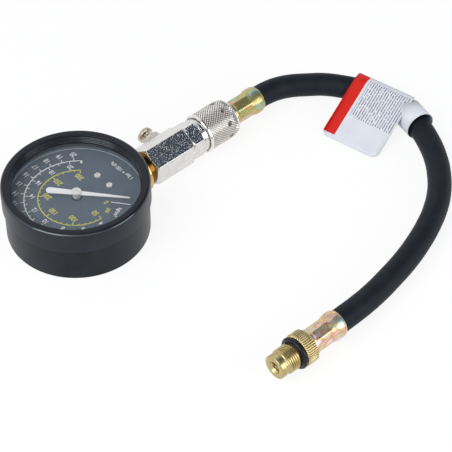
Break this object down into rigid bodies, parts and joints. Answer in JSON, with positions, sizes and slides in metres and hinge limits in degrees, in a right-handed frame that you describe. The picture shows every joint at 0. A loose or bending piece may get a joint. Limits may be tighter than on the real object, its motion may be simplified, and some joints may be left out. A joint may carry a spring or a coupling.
{
  "type": "compression tester gauge",
  "caption": "Round dial pressure gauge with a gear movement, push-button relief valve and quick coupler, joined to a short rubber hose that ends in a spark plug thread.",
  "frame": {"origin": "centre of the flat back of the gauge case", "axes": "+Z out of the dial, -Y along the stem and coupler, +X out of the relief button"},
  "size_m": [0.1935, 0.2316, 0.0333],
  "materials": {
    "black_case": "satin black paint",
    "clear_lens": "clear and glossy",
    "black_rubber": "smooth moulded",
    "slate_dial": "matt slate blue",
    "white_pointer": "matt white",
    "plain_steel": "turned and drawn",
    "movement_brass": "stamped and turned",
    "stem_brass": "turned, golden",
    "nickel": "nickel plate over turned brass",
    "yellow_zinc": "yellow passivated zinc",
    "hose_rubber": "matt blue black",
    "tag_film": "white film with a red band",
    "fitting_brass": "turned, pale"
  },
  "bodies": {
    "gauge": {"case": "black_case", "bezel_ring": "black_case", "lens": "clear_lens", "lens_gasket": "black_rubber", "dial_plate": "slate_dial", "dial_screws": "plain_steel", "socket": "stem_brass", "case_screws": "plain_steel", "bourdon_tube": "movement_brass", "movement_back_plate": "nickel", "movement_front_plate": "nickel", "movement_pillars": "movement_brass", "movement_screws": "plain_steel", "hairspring": "plain_steel", "valve_body": "nickel", "relief_bush": "nickel", "relief_spring": "plain_steel", "coupler_body": "nickel", "coupler_balls": "plain_steel", "coupler_seal": "black_rubber", "snap_ring": "plain_steel", "sleeve_spring": "plain_steel"},
    "pointer": {"pointer": "white_pointer", "pointer_hub": "plain_steel", "pinion_arbor": "plain_steel"},
    "sector": {"sector_gear": "movement_brass", "sector_arbor": "plain_steel"},
    "tube_tip": {"tube_tip": "movement_brass", "tip_link": "movement_brass", "link_pins": "plain_steel"},
    "relief": {"relief_button": "nickel", "relief_seal": "black_rubber"},
    "sleeve": {"coupler_sleeve": "nickel"},
    "hose": {"hose_plug": "yellow_zinc", "near_ferrule": "yellow_zinc", "hose": "hose_rubber", "hose_tag": "tag_film", "far_ferrule": "yellow_zinc", "end_fitting": "fitting_brass", "end_o_ring": "black_rubber", "valve_core_body": "fitting_brass", "valve_core_spring": "plain_steel"},
    "core_pin": {"valve_core_pin": "fitting_brass", "valve_core_seal": "black_rubber"}
  },
  "joints": [
    {"name": "pointer_sweep", "type": "hinge", "parent": "gauge", "child": "pointer", "pos_m": [0, 0, 0], "axis": [0, 0, -1], "range_deg": [0, 274], "deforming": ["hairspring"]},
    {"name": "sector_swing", "type": "hinge", "parent": "gauge", "child": "sector", "pos_m": [0.00945, 0.01637, 0], "axis": [0, 0, 1], "range_deg": [0, 34.5]},
    {"name": "tip_slide", "type": "slide", "parent": "gauge", "child": "tube_tip", "axis": [-0.5, 0.866, 0], "range_m": [0, 0.0029], "stiffness_N_per_m": 600, "deforming": ["bourdon_tube"]},
    {"name": "relief_press", "type": "slide", "parent": "gauge", "child": "relief", "axis": [-1, 0, 0], "range_m": [0, 0.0018], "stiffness_N_per_m": 600, "deforming": ["relief_spring"]},
    {"name": "sleeve_slide", "type": "slide", "parent": "gauge", "child": "sleeve", "axis": [0, 1, 0], "range_m": [0, 0.003], "stiffness_N_per_m": 1500, "deforming": ["sleeve_spring"]},
    {"name": "hose_swivel", "type": "hinge", "parent": "gauge", "child": "hose", "pos_m": [0, -0.1, 0.012], "axis": [0, 1, 0], "continuous": true},
    {"name": "core_pin_press", "type": "slide", "parent": "hose", "child": "core_pin", "axis": [0, -1, 0], "range_m": [0, 0.0012], "stiffness_N_per_m": 500, "deforming": ["valve_core_spring"]}
  ],
  "couplings": [
    {"joint": "sector_swing", "follows": "tip_slide", "rad_per_m": 202.92},
    {"joint": "pointer_sweep", "follows": "tip_slide", "rad_per_m": 1623.4}
  ]
}
